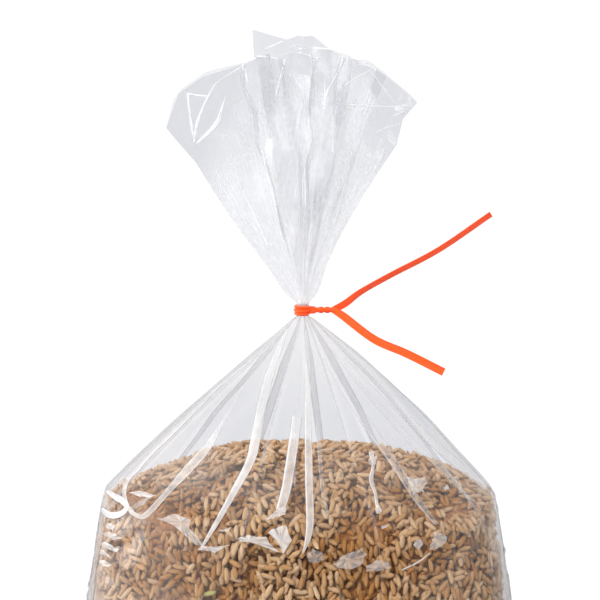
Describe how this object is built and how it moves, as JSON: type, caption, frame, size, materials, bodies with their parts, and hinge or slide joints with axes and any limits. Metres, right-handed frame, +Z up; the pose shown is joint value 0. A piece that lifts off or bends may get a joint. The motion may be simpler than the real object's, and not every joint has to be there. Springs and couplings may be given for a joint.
{
  "type": "bag of rice",
  "caption": "Clear film bag filled with brown rice, its neck gathered and closed by an orange twist tie, the loose film flaring above.",
  "frame": {"origin": "middle of the bag's box, on the surface that it stands on", "axes": "+Z up to the loose film, +X to the right along the bag's broad side, -Y out of the broad front that the picture shows"},
  "size_m": [0.2217, 0.1461, 0.3677],
  "materials": {
    "brown_rice": "dry uncooked whole grain, tan to light brown, faintly waxy",
    "clear_film": "thin clear glossy film with folds and white glints",
    "twist_tie_orange": "smooth orange plastic strip over a wire"
  },
  "bodies": {
    "root": {"rice": "brown_rice", "film_bag": "clear_film", "twist_tie": "twist_tie_orange"}
  },
  "joints": []
}
